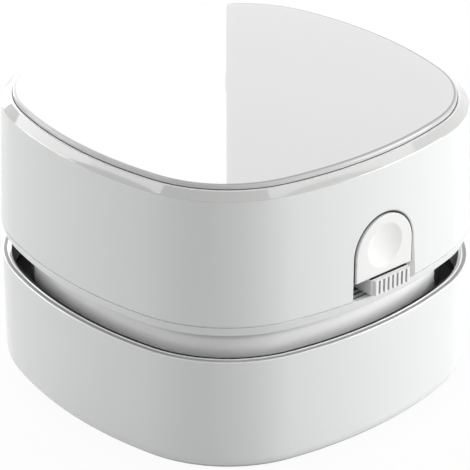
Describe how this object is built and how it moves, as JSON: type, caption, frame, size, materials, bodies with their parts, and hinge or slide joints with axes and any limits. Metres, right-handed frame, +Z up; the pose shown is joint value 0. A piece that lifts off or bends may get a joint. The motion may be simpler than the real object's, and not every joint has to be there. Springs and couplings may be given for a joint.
{
  "type": "desktop vacuum cleaner",
  "caption": "Small rounded-square desktop vacuum: dust bin with intake brush, lift-off motor head with exhaust gap, push button, slide switch and clip-in cover.",
  "frame": {"origin": "middle of the footprint on the table, on the axis of the intake, fan and motor", "axes": "+Z up, +X to the right, -Y to the front with the push button and the slide knob"},
  "size_m": [0.085, 0.0862, 0.061],
  "materials": {
    "white_shell": "gloss",
    "white_plate": "high gloss",
    "white_satin": "satin",
    "white_inner": "moulded",
    "grey_seal": "matt",
    "black_seal": "matt",
    "black_foam": "open-cell foam",
    "filter_cloth": "non-woven",
    "bristle": "nylon bristle",
    "steel": "plated",
    "bronze": "sintered",
    "copper": "bare",
    "ferrite": "sintered",
    "black_nylon": "moulded",
    "cell_jacket": "printed film",
    "wire_red": "insulation",
    "wire_black": "insulation"
  },
  "bodies": {
    "bin": {"dust_bin": "white_shell", "seat_ring": "black_seal", "intake_duct": "white_inner", "brush_ring": "white_inner", "brush_tufts": "bristle", "rubber_feet": "grey_seal"},
    "head": {"chassis": "white_shell", "fan_base": "white_inner", "head_seal": "black_seal", "exhaust_foam": "black_foam", "filter_frame": "white_inner", "filter_mesh": "filter_cloth", "fan_base_screws": "steel", "motor_can": "steel", "motor_end_cap": "black_nylon", "motor_bearings": "bronze", "motor_magnets": "ferrite", "motor_brushes": "copper", "motor_terminals": "copper", "motor_clip": "steel", "clip_screws": "steel", "battery_tray": "white_inner", "tray_screws": "steel", "aa_cell_left": "cell_jacket", "aa_cell_right": "cell_jacket", "contact_springs": "steel", "contact_plates": "steel", "switch_body": "black_nylon", "switch_terminals": "copper", "wire_battery_switch": "wire_red", "wire_switch_motor": "wire_red", "wire_motor_battery": "wire_black", "upper_shell": "white_shell", "shell_screws": "steel", "button_spring": "steel"},
    "rotor": {"motor_shaft": "steel", "armature": "steel", "commutator": "copper", "impeller": "white_inner"},
    "button": {"push_button": "white_satin"},
    "knob": {"slide_knob": "white_satin", "switch_lever": "black_nylon"},
    "cover": {"top_plate": "white_plate", "cover_frame": "white_inner"}
  },
  "joints": [
    {"name": "head_lift", "type": "slide", "parent": "bin", "child": "head", "axis": [0, 0, 1], "range_m": [0, 0.03]},
    {"name": "fan_spin", "type": "hinge", "parent": "head", "child": "rotor", "pos_m": [0, 0, 0.03], "axis": [0, 0, 1], "continuous": true},
    {"name": "button_press", "type": "slide", "parent": "head", "child": "button", "axis": [0, 1, 0], "range_m": [0, 0.0016], "stiffness_N_per_m": 600, "springref_m": -0.001, "deforming": ["button_spring"]},
    {"name": "knob_slide", "type": "slide", "parent": "head", "child": "knob", "axis": [-1, 0, 0], "range_m": [0, 0.0032]},
    {"name": "cover_lift", "type": "slide", "parent": "head", "child": "cover", "axis": [0, 0, 1], "range_m": [0, 0.012]}
  ]
}
